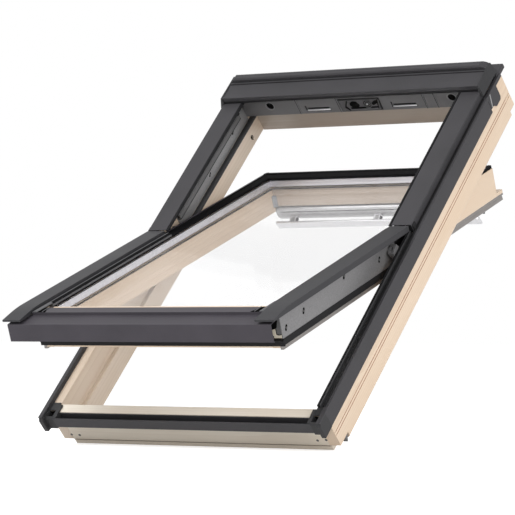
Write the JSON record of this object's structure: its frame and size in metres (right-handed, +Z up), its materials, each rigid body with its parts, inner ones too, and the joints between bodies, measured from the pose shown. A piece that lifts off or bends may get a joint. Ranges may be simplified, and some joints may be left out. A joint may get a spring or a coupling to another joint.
{
  "type": "centre pivot roof window",
  "caption": "Pine roof window with charcoal aluminium covers; the glazed sash turns about its middle in the frame, and a top control bar opens a ventilation flap.",
  "frame": {"origin": "middle of the bottom rail's down-slope face, where the window stands on its batten", "axes": "+Z up, +X across the window, +Y horizontal into the building; the window stands at a roof pitch of 45 degrees"},
  "size_m": [0.79, 1.125, 0.9347],
  "materials": {
    "pine": "clear satin lacquer",
    "charcoal_aluminium": "matt powder coat",
    "dark_plastic": "moulded satin",
    "black_rubber": "matt",
    "silver_aluminium": "satin lacquer",
    "zinc_plate": "galvanised",
    "spacer_metal": "mill",
    "glass": "clear"
  },
  "bodies": {
    "frame": {"bottom_gutter": "charcoal_aluminium", "frame_bottom_rail": "pine", "frame_head": "pine", "frame_left_gasket": "black_rubber", "frame_left_plate": "zinc_plate", "frame_left_stile": "pine", "frame_right_gasket": "black_rubber", "frame_right_plate": "zinc_plate", "frame_right_stile": "pine", "head_panel": "charcoal_aluminium", "hood_left_end": "dark_plastic", "hood_right_end": "dark_plastic", "left_corner_block": "dark_plastic", "left_cover_seal": "black_rubber", "left_edge_strip": "charcoal_aluminium", "left_hinge_track": "zinc_plate", "left_upper_cover": "charcoal_aluminium", "lock_case": "dark_plastic", "right_corner_block": "dark_plastic", "right_cover_seal": "black_rubber", "right_edge_strip": "charcoal_aluminium", "right_hinge_track": "zinc_plate", "right_upper_cover": "charcoal_aluminium", "top_hood": "charcoal_aluminium", "top_plate": "charcoal_aluminium"},
    "sash": {"inner_pane": "glass", "left_glazing_bead": "black_rubber", "left_hinge_arc": "zinc_plate", "left_lower_cover": "charcoal_aluminium", "outer_pane": "glass", "right_glazing_bead": "black_rubber", "right_hinge_arc": "zinc_plate", "right_lower_cover": "charcoal_aluminium", "sash_bottom_cover": "charcoal_aluminium", "sash_bottom_rail": "pine", "sash_left_plate": "zinc_plate", "sash_left_rail": "silver_aluminium", "sash_left_stile": "pine", "sash_right_plate": "zinc_plate", "sash_right_rail": "silver_aluminium", "sash_right_stile": "pine", "sash_seal": "black_rubber", "sash_top_rail": "pine", "spacer_bar": "spacer_metal", "upper_glazing_bead": "black_rubber"},
    "control": {"ventilation_flap": "silver_aluminium", "control_bar": "silver_aluminium"}
  },
  "joints": [
    {"name": "sash_pivot", "type": "hinge", "parent": "frame", "child": "sash", "pos_m": [0, 0.35143, 0.48861], "axis": [-1, 0, 0], "range_deg": [-25, 125]},
    {"name": "control_bar_hinge", "type": "hinge", "parent": "sash", "child": "control", "pos_m": [0, 0.86701, 0.56612], "axis": [1, 0, 0], "range_deg": [0, 35]}
  ]
}
